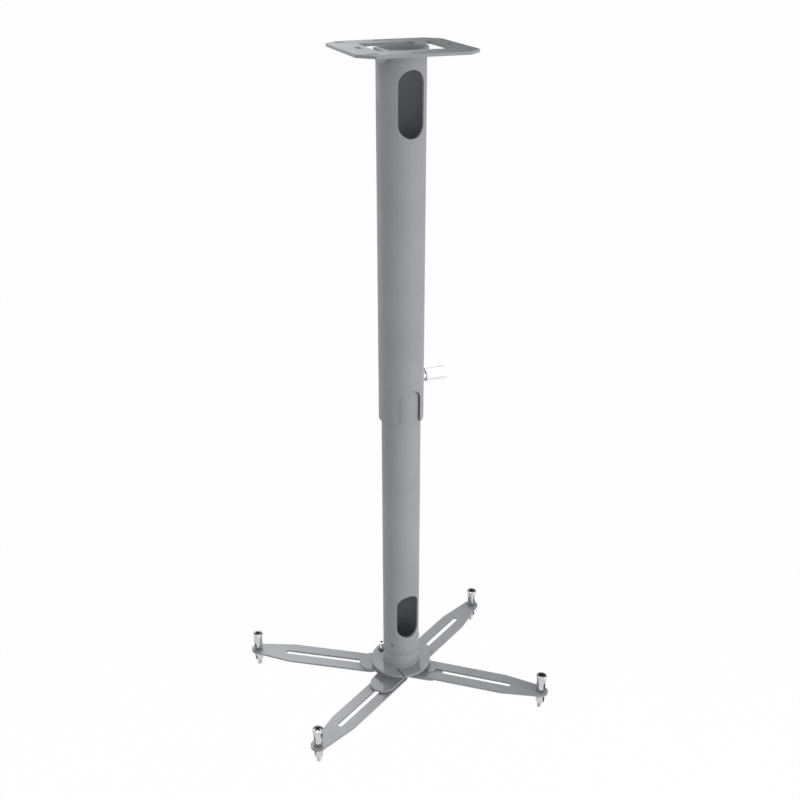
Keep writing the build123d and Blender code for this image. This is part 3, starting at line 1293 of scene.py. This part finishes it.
    def floor(self) -> None:
        """Lays the pale floor far below."""
        mesh = bmesh.new()
        bmesh.ops.create_grid(mesh, x_segments=1, y_segments=1, size=self.floor_half)
        data = bpy.data.meshes.new("floor")
        mesh.to_mesh(data)
        mesh.free()
        plane = bpy.data.objects.new("floor", data)
        plane.location.z = self.floor_z
        bpy.context.scene.collection.objects.link(plane)
        sheet = NodeSheet("pale_floor")
        tones = [(NOISE_LOW, grey(0.86)), (NOISE_HIGH, grey(0.88))]
        sheet.feed(sheet.ramp(sheet.noise(sheet.place(), 3.0, 2.0), tones), "Base Color")
        sheet.shader.inputs["Roughness"].default_value = self.matte
        sheet.shader.inputs["Specular IOR Level"].default_value = 0.0
        glow = sheet.add("Emission", Color=WHITE, Strength=self.floor_glow)
        choice = sheet.add("MixShader")
        veil = sheet.add("MapRange", To_Max=self.floor_white)
        sheet.join(self.seen_rays(sheet.tree), veil.inputs["Value"])
        sheet.join(veil.outputs["Result"], choice.inputs["Fac"])
        sheet.join(sheet.shader.outputs["BSDF"], choice.inputs[1])
        sheet.join(glow.outputs["Emission"], choice.inputs[2])
        sheet.join(choice.outputs["Shader"], sheet.output.inputs["Surface"])
        data.materials.append(sheet.material)

    def seen_rays(self, tree: bpy.types.NodeTree) -> Socket:
        """Tells the rays that should meet a white background.

        Args:
            tree: Node tree that takes the nodes.

        Returns:
            One for camera, glossy and transmission rays.
        """
        path = tree.nodes.new("ShaderNodeLightPath")
        first = tree.nodes.new("ShaderNodeMath")
        first.operation = "MAXIMUM"
        tree.links.new(path.outputs["Is Camera Ray"], first.inputs[0])
        tree.links.new(path.outputs["Is Glossy Ray"], first.inputs[1])
        second = tree.nodes.new("ShaderNodeMath")
        second.operation = "MAXIMUM"
        tree.links.new(first.outputs[0], second.inputs[0])
        tree.links.new(path.outputs["Is Transmission Ray"], second.inputs[1])
        return second.outputs[0]

    def world(self) -> None:
        """Makes a white backdrop with a weaker light on the object, dimmer from above."""
        world = bpy.data.worlds.new("studio")
        world.use_nodes = True
        tree = world.node_tree
        tree.nodes.clear()
        output = tree.nodes.new("ShaderNodeOutputWorld")
        even = tree.nodes.new("ShaderNodeBackground")
        even.inputs["Color"].default_value = WHITE
        look = tree.nodes.new("ShaderNodeTexCoord")
        parts = tree.nodes.new("ShaderNodeSeparateXYZ")
        tree.links.new(look.outputs["Generated"], parts.inputs["Vector"])
        fade = tree.nodes.new("ShaderNodeMapRange")
        fade.inputs["From Min"].default_value = 0.0
        fade.inputs["From Max"].default_value = self.fade_top
        fade.inputs["To Min"].default_value = self.side_light
        fade.inputs["To Max"].default_value = self.top_light
        tree.links.new(parts.outputs["Z"], fade.inputs["Value"])
        tree.links.new(fade.outputs["Result"], even.inputs["Strength"])
        white = tree.nodes.new("ShaderNodeBackground")
        white.inputs["Color"].default_value = WHITE
        white.inputs["Strength"].default_value = 1.0
        choice = tree.nodes.new("ShaderNodeMixShader")
        tree.links.new(self.seen_rays(tree), choice.inputs["Fac"])
        tree.links.new(even.outputs["Background"], choice.inputs[1])
        tree.links.new(white.outputs["Background"], choice.inputs[2])
        tree.links.new(choice.outputs["Shader"], output.inputs["Surface"])
        bpy.context.scene.world = world


def corners(box: tuple[Vector, Vector]) -> list[list[float]]:
    """Gives a box as plain lists of numbers."""
    return [[float(v) for v in corner] for corner in box]


def main() -> None:
    """Loads the frame and builds the mount and the studio."""
    logging.basicConfig(level=logging.INFO, format="%(name)s: %(message)s")
    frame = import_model()
    shop = Shop(frame, Finishes())
    assemblies = [CeilingEnd(shop), ClampKnob(shop), DropTube(shop), TiltHead(shop)]
    assemblies += [SlottedArm(shop, side) for side in Side]
    for assembly in assemblies:
        assembly.build()
    Studio().build()


if __name__ == "__main__":
    main()
